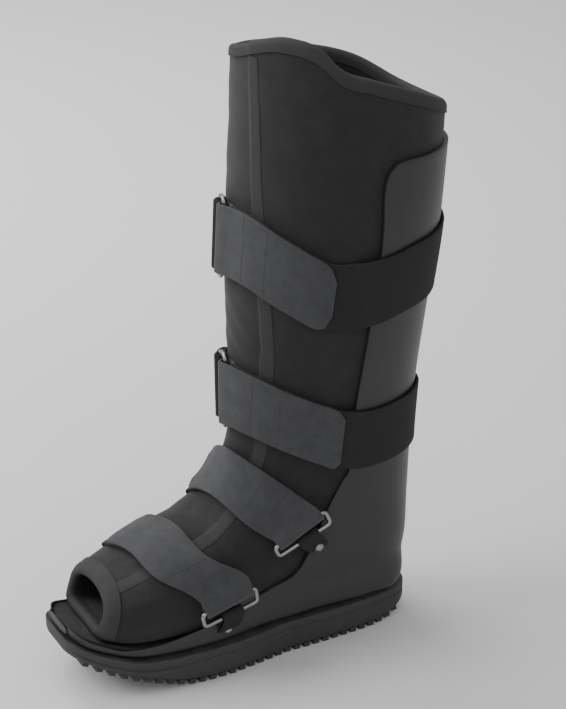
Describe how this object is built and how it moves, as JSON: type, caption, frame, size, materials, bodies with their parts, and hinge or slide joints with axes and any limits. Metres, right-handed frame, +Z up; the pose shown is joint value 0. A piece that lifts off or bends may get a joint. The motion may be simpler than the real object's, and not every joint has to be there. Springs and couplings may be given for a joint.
{
  "type": "walking boot",
  "caption": "Tall orthopaedic walking boot: padded open-toe liner in a rigid rear shell on a rocker sole, held shut by straps folded back through wire rings.",
  "frame": {"origin": "on the floor under the middle of the whole boot's box", "axes": "+Z up along the leg, -Y towards the toe, +X to the wearer's left, the side with the strap rings"},
  "size_m": [0.157, 0.3118, 0.4778],
  "materials": {
    "sole_rubber": "matt black moulded sole",
    "shell_plastic": "satin dark grey moulded shell",
    "footbed_cloth": "dark grey cloth-topped foam",
    "liner_cloth": "near-black brushed loop cloth over foam",
    "strap_cloth": "dark grey hook-and-loop strap",
    "keeper_cloth": "dark grey webbing",
    "ring_steel": "bright wire",
    "rivet_steel": "domed rivet head"
  },
  "bodies": {
    "root": {"outsole": "sole_rubber", "shell": "shell_plastic", "footbed": "footbed_cloth", "liner": "liner_cloth", "calf_strap": "strap_cloth", "calf_ring": "ring_steel", "shin_strap": "strap_cloth", "shin_ring": "ring_steel", "instep_strap": "strap_cloth", "instep_ring": "ring_steel", "instep_keeper": "keeper_cloth", "instep_rivet": "rivet_steel", "instep_far_rivet": "rivet_steel", "forefoot_strap": "strap_cloth", "forefoot_ring": "ring_steel", "forefoot_keeper": "keeper_cloth", "forefoot_rivet": "rivet_steel", "forefoot_far_rivet": "rivet_steel"}
  },
  "joints": []
}
